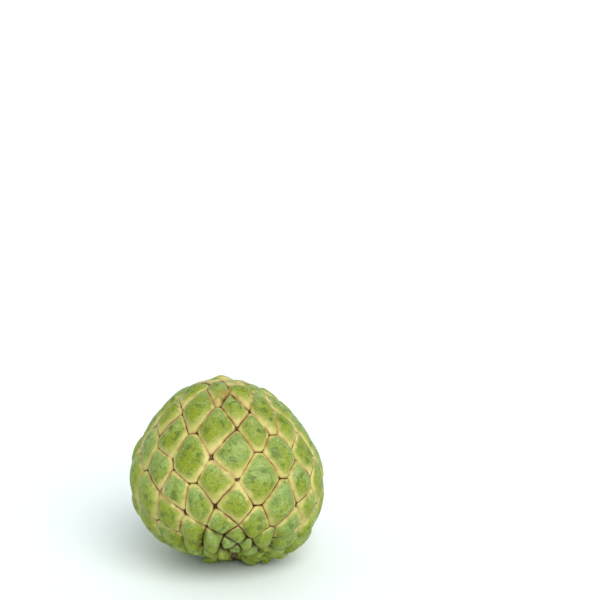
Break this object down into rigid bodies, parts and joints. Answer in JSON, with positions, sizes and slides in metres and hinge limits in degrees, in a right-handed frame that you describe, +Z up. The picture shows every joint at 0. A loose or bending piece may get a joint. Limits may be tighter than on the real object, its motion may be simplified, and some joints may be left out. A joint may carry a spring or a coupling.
{
  "type": "custard apple",
  "caption": "Whole custard apple: a heart-shaped fruit covered in rounded rhombic scales, resting on a small flat spot.",
  "frame": {"origin": "on the table, under the middle of the fruit's box", "axes": "+Z up; -Y is the front, towards which the stalk end is turned; the tip points up and towards +Y"},
  "size_m": [0.086, 0.085, 0.0819],
  "materials": {
    "rind": "waxy green rind with pale seams between its scales, satin"
  },
  "bodies": {
    "root": {"custard_apple": "rind"}
  },
  "joints": []
}
